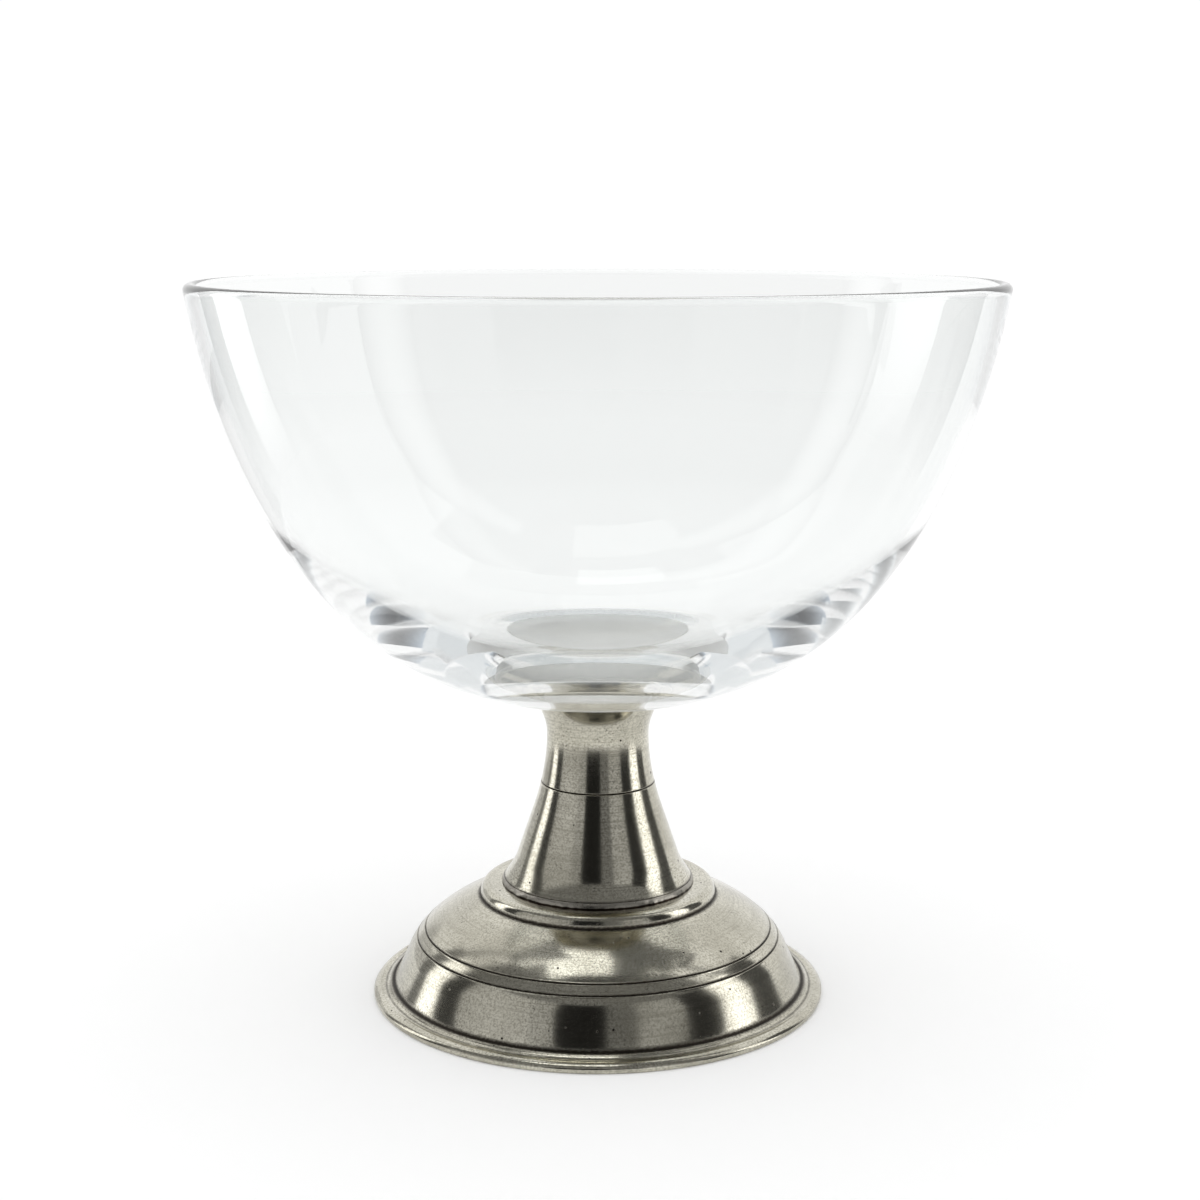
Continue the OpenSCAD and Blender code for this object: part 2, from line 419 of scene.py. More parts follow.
# %% [markdown]
# The finish is antique pewter: a warm grey tin alloy, turned on a lathe, rubbed with a dark
# patina and polished back. Close to, it has a fine grain, faint rings from the cutting
# tool, cloudy brown-grey patches and small dark pits where gas was trapped in the casting.
# A noise is given as its repeats in a metre, its detail and its roughness. A span is the
# part of a noise that shows, and how strongly. A relief is a height and a strength.

# %% The pewter's colours and textures
POLISHED = (0.69, 0.666, 0.57, 1)
CLOUDED = (0.33, 0.312, 0.25, 1)
# the patina's dark, also used for painted shade in two creases
PATINA_AND_SHADE = (0.045, 0.038, 0.030, 1)
PIT = (0.02, 0.017, 0.014, 1)
SMOOTHEST, ROUGHEST, DULL_ROUGHER = 0.10, 0.19, 0.35

CLOUDS, CLOUD_SPAN = (42, 3, 0.55), (0.35, 0.65, 0, 0.55)
SPECKLES, SPECKLE_SPAN, SPECKLE_RELIEF = (1500, 2, 0.7), (0.45, 0.62, 0, 0.7), (0.004 * MM, 0.5)
GRAIN, GRAIN_RELIEF = (2600, 2, 0.6), (0.006 * MM, 0.5)
SPOTS, SPOT_SPAN = (1700, 2, 0.7), (0.56, 0.70, 0, 0.75)
SPOT_AREAS, AREA_SPAN = (110, 2, 0.6), (0.40, 0.62)
RINGS_IN_A_METRE, RING_DRIFT = 2200, 30
RINGS, RING_SPAN, RING_RELIEF = (1.0, 2, 0.6), (0.50, 0.68, 0, 0.5), (0.004 * MM, 0.5)
PITS_IN_A_METRE, PIT_SHARE, PIT_STEP = 420.0, 0.08, 0.01
PIT_SIZES, PIT_SIZE_SPAN = (300, 2, 0.5), (0.35, 0.65, 0.10, 0.26)
PIT_EDGE, PIT_RELIEF = (0.6, 1.0), (0.04 * MM, 0.7)
DULL_SPAN, GLOSS_SPAN = (0.45, 1.15), (0.38, 0.62)

# %% [markdown]
# Two textures need a step of their own. The rings follow the outline's run, so a noise is
# read far faster along it than across. The pits are the cells of a Voronoi texture: a few
# cells are chosen by their colour, and each of these is dark within a size of its own.

# %% The rings and the pits


def tool_rings(tree, where):
    """Faint rings from the cutting tool."""
    parts = put(tree, "ShaderNodeSeparateXYZ", {0: where}).outputs
    place = put(tree, "ShaderNodeCombineXYZ", {
        0: calc(tree, "MULTIPLY", attribute(tree, "run"), RINGS_IN_A_METRE),
        1: calc(tree, "MULTIPLY", parts[0], RING_DRIFT),
        2: calc(tree, "MULTIPLY", parts[1], RING_DRIFT)})
    return noise(tree, place.outputs[0], *RINGS)


def casting_pits(tree, where):
    """One inside a pit, and zero outside."""
    cells = put(tree, "ShaderNodeTexVoronoi",
                {"Vector": where, "Scale": PITS_IN_A_METRE, "Randomness": 1.0}).outputs
    draw = put(tree, "ShaderNodeSeparateColor", {0: cells["Color"]}).outputs[0]
    chosen = span(tree, draw, 1 - PIT_SHARE, 1 - PIT_SHARE + PIT_STEP)
    size = span(tree, noise(tree, where, *PIT_SIZES), *PIT_SIZE_SPAN)
    outside = span(tree, calc(tree, "DIVIDE", cells["Distance"], size), *PIT_EDGE)
    return calc(tree, "MULTIPLY", chosen, calc(tree, "SUBTRACT", 1.0, outside))


# %% [markdown]
# The pewter is then built up as it aged: clouds, speckles and rings first, the patina in the
# creases and in small spots over them, and the pits last. Two creases get painted shade in
# the patina's colour: the brim's lower edge at the table and the stem's top under the seat
# plate. Patina, painted shade and pits are also rougher.

# %% The pewter


def pewter_material():
    """Turned and patinated pewter, with painted shade in two of its creases."""
    made, tree, shader, where = new_material("antique pewter")
    cloud, speckle = noise(tree, where, *CLOUDS), noise(tree, where, *SPECKLES)
    rings, pit = tool_rings(tree, where), casting_pits(tree, where)
    spots = calc(tree, "MULTIPLY", span(tree, noise(tree, where, *SPOTS), *SPOT_SPAN),
                 span(tree, noise(tree, where, *SPOT_AREAS), *AREA_SPAN))
    half_speckle = calc(tree, "MULTIPLY", speckle, HALF)
    # the crease attribute holds patina, and painted shade at the brim's lower edge and under the
    # seat plate
    dull_and_shaded = span(tree, calc(tree, "ADD", attribute(tree, "tarnish_and_shade"), half_speckle), *DULL_SPAN)
    metal = blend(tree, span(tree, cloud, *CLOUD_SPAN), POLISHED, CLOUDED)
    metal = blend(tree, span(tree, speckle, *SPECKLE_SPAN), metal, CLOUDED)
    metal = blend(tree, span(tree, rings, *RING_SPAN), metal, CLOUDED)
    metal = blend(tree, calc(tree, "MAXIMUM", dull_and_shaded, spots), metal, PATINA_AND_SHADE)
    metal = blend(tree, pit, metal, PIT)
    mixed = calc(tree, "ADD", half_speckle, calc(tree, "MULTIPLY", cloud, HALF))
    gloss = span(tree, mixed, *GLOSS_SPAN, SMOOTHEST, ROUGHEST)
    rougher = calc(tree, "MULTIPLY", calc(tree, "MAXIMUM", dull_and_shaded, pit), DULL_ROUGHER)
    relief = bump(tree, noise(tree, where, *GRAIN), *GRAIN_RELIEF)
    relief = bump(tree, rings, *RING_RELIEF, relief)
    relief = bump(tree, speckle, *SPECKLE_RELIEF, relief)
    relief = bump(tree, calc(tree, "SUBTRACT", 1.0, pit), *PIT_RELIEF, relief)
    dress(tree, shader, {"Base Color": metal, "Metallic": 1.0, "Normal": relief,
                         "Roughness": calc(tree, "ADD", gloss, rougher)})
    return made


pewter = pewter_material()
print("pewter:", len(pewter.node_tree.nodes), "nodes")

# %% [markdown]
# Solder is a softer, duller alloy that was never turned. Round the stem it froze as a low
# rough bead. Flux residue, dark with a reddish cast, lies only along its lower edge.

# %% The solder
SOLDER_GREY = (0.36, 0.34, 0.30, 1)
FLUX_DARK = (0.03, 0.021, 0.016, 1)
BEADS, BEAD_RELIEF, BEAD_SHARE = (520, 3, 0.6), (0.04 * MM, 0.8), 0.9
SOLDER_GRAIN, SOLDER_GRAIN_RELIEF = (2400, 2, 0.6), (0.01 * MM, 0.8)
RESIDUE_SPAN, SOLDER_ROUGHNESS = (0.7, 1.05), (0.3, 0.7, 0.24, 0.42)


def solder_material():
    """Dull, lumpy soft solder with flux residue in its crease."""
    made, tree, shader, where = new_material("soft solder")
    bead, fine = noise(tree, where, *BEADS), noise(tree, where, *SOLDER_GRAIN)
    crease = calc(tree, "ADD", attribute(tree, "tarnish_and_shade"), calc(tree, "MULTIPLY", bead, BEAD_SHARE))
    residue = span(tree, crease, *RESIDUE_SPAN)
    relief = bump(tree, fine, *SOLDER_GRAIN_RELIEF, bump(tree, bead, *BEAD_RELIEF))
    dress(tree, shader, {"Base Color": blend(tree, residue, SOLDER_GREY, FLUX_DARK),
                         "Metallic": 1.0, "Normal": relief,
                         "Roughness": span(tree, fine, *SOLDER_ROUGHNESS)})
    return made


solder = solder_material()
print("solder:", len(solder.node_tree.nodes), "nodes")

# %% [markdown]
# Glass has almost no colour of its own. What shows is how it bends and mirrors the room, so
# its material is short and its shape does the work. Blown and fire-polished glass is never
# perfectly even: a long, very low wave in the surface makes its reflections soft.

# %% The glass
GLASS_TINT = (0.945, 0.955, 0.951, 1)
GLASS_IOR = 1.52
WAVES, WAVE_RELIEF = (14, 2, 0.4), (0.05 * MM, 0.5)


def glass_material():
    """Clear crystal with a faint unevenness."""
    made, tree, shader, where = new_material("clear glass")
    wave = noise(tree, where, *WAVES)
    dress(tree, shader, {"Base Color": GLASS_TINT, "Roughness": 0.0, "IOR": GLASS_IOR,
                         "Transmission Weight": 1.0, "Normal": bump(tree, wave, *WAVE_RELIEF)})
    return made


glass = glass_material()
print("glass:", len(glass.node_tree.nodes), "nodes")

# %% [markdown]
# The adhesive is clear, and what one sees of it is the pewter that it has wetted. A layer of
# clear adhesive between glass and metal is hard for a renderer, and so thin that it makes no
# difference of its own. The film is therefore given the look of the bright disc itself.

# %% The adhesive on the pewter
WETTED = (0.96, 0.96, 0.94, 1)
CLOUDY = (0.93, 0.93, 0.91, 1)
FILM_METALLIC = 0.9
FILM_CLOUDS, FILM_CLOUD_SPAN = (90, 3, 0.6), (0.35, 0.65)
FILM_GRAIN, FILM_ROUGHNESS = (1500, 2, 0.6), (0.3, 0.7, 0.28, 0.36)


def adhesive_material():
    """Clear adhesive that has wetted the pewter, so that the bright disc shows through it."""
    made, tree, shader, where = new_material("clear adhesive on pewter")
    cloud = span(tree, noise(tree, where, *FILM_CLOUDS), *FILM_CLOUD_SPAN)
    rough = span(tree, noise(tree, where, *FILM_GRAIN), *FILM_ROUGHNESS)
    dress(tree, shader, {"Base Color": blend(tree, cloud, WETTED, CLOUDY),
                         "Metallic": FILM_METALLIC, "Roughness": rough})
    return made


adhesive = adhesive_material()
print("adhesive:", len(adhesive.node_tree.nodes), "nodes")

# %% [markdown]
# The foot is one casting. Its outline climbs from the table: the brim's rounded edge, a
# bead, a cove, the steep skirt, the dome with two scribed lines, and the collar. A bend's
# corner is given by its shares of the way across and up between the bend's two ends.

# %% The foot's outside
BRIM_H, EDGE_H, EDGE_ROUND = 4.0 * MM, 1.6 * MM, 0.8 * MM
SKIRT_R, SHOULDER_R, SHOULDER_H = 66.1 * MM, 61.4 * MM, 13.5 * MM
COLLAR_R, COLLAR_H, COLLAR_ROUND = 37.9 * MM, 3.8 * MM, 3.2 * MM
BEAD_END, COVE_END = (0.40, 0.58), (0.80, 0.88)
BEAD_BOW, COVE_BOW, BRIM_BOW = 0.12, -0.13, 0.09
SKIRT_CORNER, DOME_CORNER = (0.33, 0.23), (0.82, 0.43)
LOWER_LINE_H, LINE_GAP = 18.6 * MM, 2.8 * MM
LINE_HEIGHTS = (LOWER_LINE_H, LOWER_LINE_H + LINE_GAP)
EDGE_STEPS, EDGE_LINE_STEPS, BEAD_STEPS, BRIM_STEPS = 8, 2, 14, 8
SKIRT_STEPS, DOME_STEPS, COLLAR_STEPS = 22, 64, 14

edge_centre = point(foot_r - EDGE_ROUND, EDGE_ROUND)
edge_top = point(foot_r, EDGE_H)
skirt_foot = point(SKIRT_R, BRIM_H)
bead_end = between(edge_top, skirt_foot, *BEAD_END)
cove_end = between(edge_top, skirt_foot, *COVE_END)
shoulder = point(SHOULDER_R, SHOULDER_H)
dome_top = point(COLLAR_R, foot_top - COLLAR_H)
collar_edge = point(COLLAR_R - COLLAR_ROUND, foot_top)

brim = arc(edge_centre, EDGE_ROUND, -90, 0, EDGE_STEPS)
brim += line(point(foot_r, EDGE_ROUND), edge_top, EDGE_LINE_STEPS)
brim += bow(edge_top, bead_end, BEAD_BOW, BEAD_STEPS)
brim += bow(bead_end, cove_end, COVE_BOW, BEAD_STEPS)
brim += bow(cove_end, skirt_foot, BRIM_BOW, BRIM_STEPS)
smooth_body = bend(skirt_foot, between(skirt_foot, shoulder, *SKIRT_CORNER), shoulder, SKIRT_STEPS)
smooth_body += bend(shoulder, between(dome_top, shoulder, *DOME_CORNER), dome_top, DOME_STEPS)
body = smooth_body
for height in LINE_HEIGHTS:
    body = scribe(body, height)
collar = bend(dome_top, point(COLLAR_R, foot_top), collar_edge, COLLAR_STEPS)
outside = [point(foot_r - EDGE_ROUND, foot_z)] + brim + body + collar
print("outside of the foot:", len(outside), "points")

# %% [markdown]
# A cast foot is hollow, which saves metal and keeps the casting sound. Inside, the outline
# comes back down an even wall thinner. Its steps are coarser, because it is seen only from
# below. A narrow flat ring rests on the table.

# %% The foot's inside
FOOT_WALL, HOLE_R, REST_W = 3.0 * MM, 22.0 * MM, 3.8 * MM
INSIDE_STEPS, INNER_BRIM = 28, 0.8


def inset(points, wall, steps):
    """A coarse copy of an outline, moved inwards by an even wall."""
    picked = [points[round(i * (len(points) - 1) / steps)] for i in range(steps + 1)]
    moved = []
    for i, p in enumerate(picked):
        run = (picked[min(i + 1, steps)] - picked[max(i - 1, 0)]).normalized()
        moved.append(p - wall * Vector((run.y, -run.x)))
    return moved


ceiling = foot_top - FOOT_WALL
inner_collar_r = COLLAR_R - FOOT_WALL
inner_body = [p for p in inset(smooth_body, FOOT_WALL, INSIDE_STEPS) if p.x > inner_collar_r]
inside = [point(HOLE_R, foot_top), point(HOLE_R, ceiling), point(inner_collar_r, ceiling)]
inside += inner_body[::-1]
inside += [point(SKIRT_R - FOOT_WALL, INNER_BRIM * BRIM_H),
           point(foot_r - EDGE_ROUND - REST_W, foot_z)]
foot_outline = outside + inside + [outside[0]]
print("whole foot:", len(foot_outline), "points")

# %% [markdown]
# The patina stays where the polishing cloth can't reach: in the scribed lines, at the foot of
# the skirt, under the collar, beside the solder and in the brim's cove. Along the brim's lower
# edge, at the table, the same darkening is painted shade. Each crease is a point and how far
# its darkness spreads.

# %% The foot
FOOT_STEPS = 280
SEAM_EDGE_R, UNDER_EDGE = 31.0 * MM, 1.6 * MM
foot_creases = [(body[nearest(body, height)], 0.45 * MM) for height in LINE_HEIGHTS]
foot_creases += [(skirt_foot, 1.3 * MM), (dome_top, 1.1 * MM),
                 (point(SEAM_EDGE_R, foot_top), 0.6 * MM),
                 (between(bead_end, cove_end, HALF, HALF), 0.5 * MM),
                 # painted shade along the brim's lower edge, where it meets the table
                 (point(foot_r - UNDER_EDGE, foot_z), 1.2 * MM)]
turned("turned_foot", foot_outline, foot_creases, FOOT_STEPS, pewter, "foot")

# %% [markdown]
# The stem is a second casting, a trumpet that is narrowest high up and flares at both ends.
# One scribed line runs round it. It stands on the collar in a seam of solder.

# %% The stem's outline
SEAM_H, SEAM_W = 1.8 * MM, 0.8 * MM
FILLET_H, FILLET_W = 1.0 * MM, 1.2 * MM
STEM_BASE_R, NECK_R, STEM_TOP_R = 30.2 * MM, 16.25 * MM, 22.0 * MM
NECK_H, STEM_LINE_H, STEM_WALL = 49.0 * MM, 33.2 * MM, 3.2 * MM
CONE_TOP, CONE_FOOT = (0.33, 0.47), (0.70, 0.15)
BASE_CORNER, NECK_CORNER, FLARE_CORNER = (0.77, 0.09), (0, 0.75), (0, 0.47)
BASE_STEPS, CONE_STEPS, NECK_STEPS, FLARE_STEPS, BORE_STEPS = 16, 24, 40, 30, 36

base_edge = point(STEM_BASE_R, stem_z + SEAM_H)
neck = point(NECK_R, stem_z + NECK_H)
top_edge = point(STEM_TOP_R, stem_top - FILLET_H)
low = point(neck.x, base_edge.y)
high = point(base_edge.x, neck.y)
cone_top = between(low, high, *CONE_TOP)
cone_foot = between(low, high, *CONE_FOOT)
trumpet = [base_edge]
trumpet += bend(base_edge, between(low, high, *BASE_CORNER), cone_foot, BASE_STEPS)
trumpet += line(cone_foot, cone_top, CONE_STEPS)
trumpet += bend(cone_top, between(low, high, *NECK_CORNER), neck, NECK_STEPS)
trumpet += bend(neck, between(neck, top_edge, *FLARE_CORNER), top_edge, FLARE_STEPS)
bore = inset(trumpet, STEM_WALL, BORE_STEPS)
trumpet = scribe(trumpet, stem_z + STEM_LINE_H)
stem_outline = [point(STEM_BASE_R, stem_z)] + trumpet
stem_outline += [point(STEM_TOP_R, stem_top), point(bore[-1].x, stem_top)] + bore[::-1]
stem_outline += [point(bore[0].x, stem_z), point(STEM_BASE_R, stem_z)]
print("stem outline:", len(stem_outline), "points")

# %% [markdown]
# The stem holds patina in its scribed line and a little at its foot, where the solder is. Its
# top, under the seat plate, is darkened more widely: patina by the solder, and painted shade
# under the plate.

# %% The stem
STEM_STEPS = 288
# the darkening at the top is patina by the solder, and painted shade under the seat plate
stem_creases = [(trumpet[nearest(trumpet, stem_z + STEM_LINE_H)], 0.4 * MM),
                (base_edge, 0.6 * MM), (top_edge, 1.0 * MM)]
turned("turned_stem", stem_outline, stem_creases, STEM_STEPS, pewter, "stem")

# %% [markdown]
# A solder seam is a low bead between two surfaces. The lathe makes it even, and then each
# point is pushed by a noise, so that its edge wanders as real solder does. The push stays
# inside the seam's own width.

# %% The two solder seams
SEAM_STEPS, SEAM_BOW, SEAM_BOW_STEPS, FLUX_SPREAD = 360, 0.12, 10, 0.45 * MM
PUSH, LUMP_SIZE, KEPT_W = 0.25 * MM, 2.4 * MM, 0.1 * MM


def roughen(piece, start_r):
    """Moves a ring's outer points in and out by a smooth noise."""
    for v in piece.data.vertices:
        if math.hypot(v.co.x, v.co.y) > start_r:
            side = Vector((v.co.x, v.co.y, 0)).normalized()
            v.co += PUSH * (lumps.noise(v.co / LUMP_SIZE) - HALF) * side


def seam(name, corners, node, inner_r, crease):
    """A lumpy solder ring, darkest at its crease."""
    piece = turned(name, corners, [(crease, FLUX_SPREAD)], SEAM_STEPS, solder, node)
    roughen(piece, inner_r + KEPT_W)


seam_corner = point(STEM_BASE_R, stem_z)
seam_out = point(STEM_BASE_R + SEAM_W, stem_z)
seam_bead = bow(seam_out, base_edge, SEAM_BOW, SEAM_BOW_STEPS)
seam("stem_seam", [seam_corner, seam_out] + seam_bead + [seam_corner],
     "stem_solder", STEM_BASE_R, seam_out)
fillet_corner = point(STEM_TOP_R, stem_top)
fillet_out = point(STEM_TOP_R + FILLET_W, stem_top)
fillet_bead = bow(top_edge, fillet_out, -SEAM_BOW, SEAM_BOW_STEPS)
seam("plate_seam", [fillet_corner, top_edge] + fillet_bead + [fillet_corner],
     "plate_solder", STEM_TOP_R, fillet_out)

# %% [markdown]
# The seat plate is a thin pewter disc with a rounded edge. It gives the glass a wide, flat
# seat, which the narrow top of the stem could not.

# %% The seat plate
DISC_STEPS, ROUND_STEPS, PLATE_RINGS = 240, 6, 20
PLATE_ROUND = 0.35 * MM
flat_r = plate_r - PLATE_ROUND
plate_outline = [point(0, plate_z), point(flat_r, plate_z)]
plate_outline += arc(point(flat_r, plate_z + PLATE_ROUND), PLATE_ROUND, -90, 0, ROUND_STEPS)
plate_outline += arc(point(flat_r, plate_top - PLATE_ROUND), PLATE_ROUND, 0, 90, ROUND_STEPS)
plate_outline += line(point(flat_r, plate_top), point(0, plate_top), PLATE_RINGS)
turned("seat_disc", plate_outline, [], DISC_STEPS, pewter, "seat_plate")

# %% [markdown]
# The glass is bonded to the plate by a film of adhesive. There is no air between the film and
# the glass, and that is why the disc is seen so clearly through the bowl: a gap of air, even
# a thin one, would act as a mirror. So here the film reaches a hair's breadth into the glass.

# %% The adhesive film
EMBED, FILM_RINGS = 0.05 * MM, 40
film_z, film_top = levels("bond_film")
film_r = reach("bond_film")
film_outline = [point(0, film_z), point(film_r, film_z), point(film_r, film_top + EMBED)]
film_outline += line(point(film_r, film_top + EMBED), point(0, film_top + EMBED), FILM_RINGS)
turned("adhesive_film", film_outline, [], DISC_STEPS, adhesive, "bond_film")

# %% [markdown]
# The glass follows a rule, so its tree draws the outline as well. The outer face is a
# superellipse, (r / a)^n + (d / b)^n = 1, where r is the distance from the axis and d the
# depth below the level at which the curve would stand upright. With n = 2 it is an ellipse,
# and a larger n makes it fuller. The inner face lies inside it by the thickness of the
# glass, which is greatest in the heel, evens out to the wall, and grows again to the lip.

# %% The sizes of the glass
LIP_T, WALL_T, BASE_T, GROUND_R = 4.0 * MM, 3.1 * MM, 4.0 * MM, 40.0 * MM
LIP_LEAN = math.radians(13)
LIP_FADE, OUTER_RISE, HEEL_RISE = 40.0 * MM, 99.0 * MM, 53.8 * MM
FULLNESS, HEEL_FULLNESS, HEEL_SOFTNESS = 2.49, 1.34, 1.85


def curve_through(p, q, level, n):
    """Half-width and depth of the superellipse about a level through two points."""
    pd, qd = (level - p.y) ** n, (level - q.y) ** n
    whole = q.x ** n * pd - p.x ** n * qd
    return ((pd - qd) / whole) ** (-1 / n), ((q.x ** n - p.x ** n) / whole) ** (-1 / n)


lip_centre = point(rim_r - LIP_T / 2, rim_z - LIP_T / 2)
outer_lip = lip_centre + LIP_T / 2 * Vector((math.cos(LIP_LEAN), -math.sin(LIP_LEAN)))
upright = rim_z + OUTER_RISE
half_width, depth = curve_through(point(GROUND_R, glass_z), outer_lip, upright, FULLNESS)
first_angle = math.asin((GROUND_R / half_width) ** (FULLNESS / 2))
last_angle = math.acos(((upright - outer_lip.y) / depth) ** (FULLNESS / 2))
heel_t = BASE_T + glass_z - (upright - depth)
print(f"half-width {half_width:.4f}, depth {depth:.4f}, heel {heel_t:.4f}")

# %% [markdown]
# One function below places a point of the outer face by its angle. A second one finds how
# thick the glass is over it, and a third one goes that far into the glass, square to the
# outer face. Each of them only makes Math nodes.

# %% The rule of the glass in nodes


def outer_point(tree, size, angle):
    """Distance and level of the outer face at its own angle."""
    power = calc(tree, "DIVIDE", 2.0, size["Fullness"])
    wide = calc(tree, "POWER", calc(tree, "SINE", angle), power)
    deep = calc(tree, "POWER", calc(tree, "COSINE", angle), power)
    down = calc(tree, "MULTIPLY", size["Depth"], deep)
    return (calc(tree, "MULTIPLY", size["Half-width"], wide),
            calc(tree, "SUBTRACT", size["Upright level"], down))


def share_of(tree, value, start, length, kind):
    """How far a value has come along a length, from 0 to 1."""
    end = calc(tree, "ADD", start, length)
    made = put(tree, "ShaderNodeMapRange", {"Value": value, "From Min": start, "From Max": end},
               interpolation_type=kind)
    return made.outputs[0]


def over_wall(tree, size, label, share):
    """How much a part of the glass is thicker than the wall, at its share."""
    more = calc(tree, "SUBTRACT", size[label], size["Wall thickness"])
    return calc(tree, "MULTIPLY", more, share)


def thickness(tree, size, level):
    """Thickness of the glass over a level of its outer face."""
    up = share_of(tree, level, size["Ground level"], size["Heel rise"], "LINEAR")
    left = calc(tree, "SUBTRACT", 1.0, calc(tree, "POWER", up, size["Heel fullness"]))
    heel = calc(tree, "POWER", calc(tree, "MAXIMUM", left, 0.0), size["Heel softness"])
    start = calc(tree, "SUBTRACT", size["Outer lip level"], size["Lip fade"])
    lip = share_of(tree, level, start, size["Lip fade"], "SMOOTHSTEP")
    extra = calc(tree, "ADD", over_wall(tree, size, "Heel thickness", heel),
                 over_wall(tree, size, "Lip thickness", lip))
    return calc(tree, "ADD", size["Wall thickness"], extra)


def slope(tree, size, value, label):
    """The superellipse's slope on one of its axes."""
    power = calc(tree, "SUBTRACT", size["Fullness"], 1.0)
    raised = calc(tree, "POWER", calc(tree, "DIVIDE", value, size[label]), power)
    return calc(tree, "DIVIDE", raised, size[label])


def inner_point(tree, size, r, z):
    """The point of the inner face that faces a point of the outer one."""
    across = slope(tree, size, r, "Half-width")
    along = slope(tree, size, calc(tree, "SUBTRACT", size["Upright level"], z), "Depth")
    length = calc(tree, "SQRT", calc(tree, "ADD", calc(tree, "MULTIPLY", across, across),
                                     calc(tree, "MULTIPLY", along, along)))
    step = calc(tree, "DIVIDE", thickness(tree, size, z), length)
    return (calc(tree, "SUBTRACT", r, calc(tree, "MULTIPLY", across, step)),
            calc(tree, "ADD", z, calc(tree, "MULTIPLY", along, step)))


def strip(tree, count, place):
    """A row of points, put in place by a function of their share of the way along."""
    row = put(tree, "GeometryNodeMeshLine", {"Count": count}).outputs["Mesh"]
    index = put(tree, "GeometryNodeInputIndex").outputs[0]
    r, z = place(calc(tree, "DIVIDE", index, calc(tree, "SUBTRACT", count, 1.0)))
    where = put(tree, "ShaderNodeCombineXYZ", {0: r, 2: z}).outputs[0]
    return put(tree, "GeometryNodeSetPosition", {"Geometry": row, "Position": where}).outputs[0]


# %% [markdown]
# Every size of the glass is a named input of its tree, so the bowl can be made deeper,
# thicker or fuller there. Four strips make its skin: the ground flat, the outer face, the
# lip and the inner face. The last point of the inner face is moved onto the lip's end, so
# that the weld closes the skin.

# %% The glass tree
ALMOST_ALL = 0.9999
GLASS_SIZES = {
    "Fullness": FULLNESS, "Half-width": half_width, "Depth": depth, "Upright level": upright,
    "First angle": first_angle, "Last angle": last_angle, "Ground radius": GROUND_R,
    "Ground level": glass_z, "Wall thickness": WALL_T, "Heel thickness": heel_t,
    "Heel rise": HEEL_RISE, "Heel fullness": HEEL_FULLNESS, "Heel softness": HEEL_SOFTNESS,
    "Lip thickness": LIP_T, "Lip fade": LIP_FADE, "Lip distance": lip_centre.x,
    "Lip level": lip_centre.y, "Outer lip level": outer_lip.y, "Lip lean": LIP_LEAN}
GLASS_STEPS = {"Steps round": 256, "Steps up": 170, "Lip steps": 20}


def glass_tree():
    """The bowl: ground flat, outer face, rounded lip and inner face, each on the lathe."""
    sizes = [(label, INT, value) for label, value in GLASS_STEPS.items()]
    sizes += [(label, FLOAT, value) for label, value in GLASS_SIZES.items()]
    sizes += [("Weld distance", FLOAT, WELD), ("Finish", MATERIAL, None)]
    tree, given, result = geometry_tree("Glass bowl", sizes)
    size = given.outputs

    def on_ground(share):
        return calc(tree, "MULTIPLY", share, size["Ground radius"]), size["Ground level"]

    def on_outer(share):
        sweep = calc(tree, "SUBTRACT", size["Last angle"], size["First angle"])
        turn = calc(tree, "MULTIPLY", share, sweep)
        return outer_point(tree, size, calc(tree, "ADD", size["First angle"], turn))

    def on_lip(share):
        angle = calc(tree, "SUBTRACT", calc(tree, "MULTIPLY", share, math.pi), size["Lip lean"])
        half_lip = calc(tree, "MULTIPLY", size["Lip thickness"], HALF)
        r = calc(tree, "MULTIPLY", calc(tree, "COSINE", angle), half_lip)
        z = calc(tree, "MULTIPLY", calc(tree, "SINE", angle), half_lip)
        return calc(tree, "ADD", r, size["Lip distance"]), calc(tree, "ADD", z, size["Lip level"])

    def on_inner(share):
        angle = calc(tree, "MULTIPLY", share, size["Last angle"])
        here = inner_point(tree, size, *outer_point(tree, size, angle))
        is_last = calc(tree, "GREATER_THAN", share, ALMOST_ALL)
        moved = []
        for value, end in zip(here, on_lip(1.0)):
            gap = calc(tree, "MULTIPLY", is_last, calc(tree, "SUBTRACT", end, value))
            moved.append(calc(tree, "ADD", value, gap))
        return moved

    rows = [(size["Steps up"], on_outer), (size["Steps up"], on_inner),
            (size["Lip steps"], on_lip),
            (calc(tree, "MULTIPLY", size["Lip steps"], HALF), on_ground)]
    join = put(tree, "GeometryNodeJoinGeometry")
    for count, place in rows:
        lathe = put(tree, "GeometryNodeGroup", node_tree=LATHE)
        tree.links.new(strip(tree, count, place), lathe.inputs["Geometry"])
        tree.links.new(size["Steps round"], lathe.inputs["Steps"])
        tree.links.new(lathe.outputs[0], join.inputs[0])
    finish_tree(tree, join.outputs[0], result, size["Finish"], size["Weld distance"])
    return tree


bowl_tree = glass_tree()
print("glass tree:", len(bowl_tree.nodes), "nodes")

# %% [markdown]
# The tree needs no outline to start from, so the modifier sits on an empty mesh. The strips
# meet a little less exactly than the points of a drawn outline, so the weld is wider.

# %% The glass bowl
GLASS_WELD = 0.01 * MM
grow("crystal_bowl", bpy.data.meshes.new("bowl start"), bowl_tree,
     {**GLASS_STEPS, **GLASS_SIZES, "Weld distance": GLASS_WELD, "Finish": glass},
     "glass_bowl")

